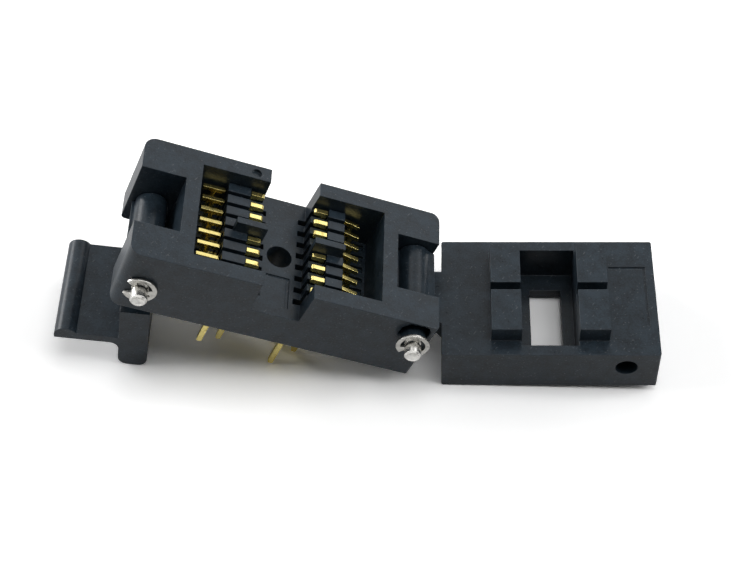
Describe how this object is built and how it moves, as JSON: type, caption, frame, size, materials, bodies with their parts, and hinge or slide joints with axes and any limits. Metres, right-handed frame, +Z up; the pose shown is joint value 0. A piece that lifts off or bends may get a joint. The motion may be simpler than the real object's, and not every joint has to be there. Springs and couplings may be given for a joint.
{
  "type": "ic test socket",
  "caption": "Open clamshell test socket for a small-outline chip: tipped housing with two rows of gold contacts, hinged pusher lid laid back and a swing-over latch lever.",
  "frame": {"origin": "bottom centre of the bounding box, on the bench the socket stands on", "axes": "+X from the latch lever to the free end of the open lid, +Y to the rear, +Z up from the bench"},
  "size_m": [0.0542, 0.0164, 0.0183],
  "materials": {
    "moulded_plastic": "dark bluish grey glass-filled moulding with fine speckle",
    "gold_contact": "bright gold plating",
    "pin_steel": "bright turned steel",
    "ring_steel": "blanked spring steel, plated"
  },
  "bodies": {
    "base": {"housing": "moulded_plastic", "hinge_pin": "pin_steel", "latch_pin": "pin_steel", "hinge_ring_front": "ring_steel", "hinge_ring_rear": "ring_steel", "latch_ring_front": "ring_steel", "latch_ring_rear": "ring_steel", "contact_01": "gold_contact", "contact_02": "gold_contact", "contact_03": "gold_contact", "contact_04": "gold_contact", "contact_05": "gold_contact", "contact_06": "gold_contact", "contact_07": "gold_contact", "contact_08": "gold_contact", "contact_09": "gold_contact", "contact_10": "gold_contact", "contact_11": "gold_contact", "contact_12": "gold_contact", "contact_13": "gold_contact", "contact_14": "gold_contact", "contact_15": "gold_contact", "contact_16": "gold_contact"},
    "lid": {"lid": "moulded_plastic"},
    "lever": {"latch_lever": "moulded_plastic"}
  },
  "joints": [
    {"name": "lid_hinge", "type": "hinge", "parent": "base", "child": "lid", "pos_m": [0.00491, 0.00028, 0.00714], "axis": [0, -1, 0], "range_deg": [0, 157.15]},
    {"name": "latch_pivot", "type": "hinge", "parent": "base", "child": "lever", "pos_m": [-0.01831, 0.00028, 0.01343], "axis": [0, 1, 0], "range_deg": [0, 192.8]}
  ]
}
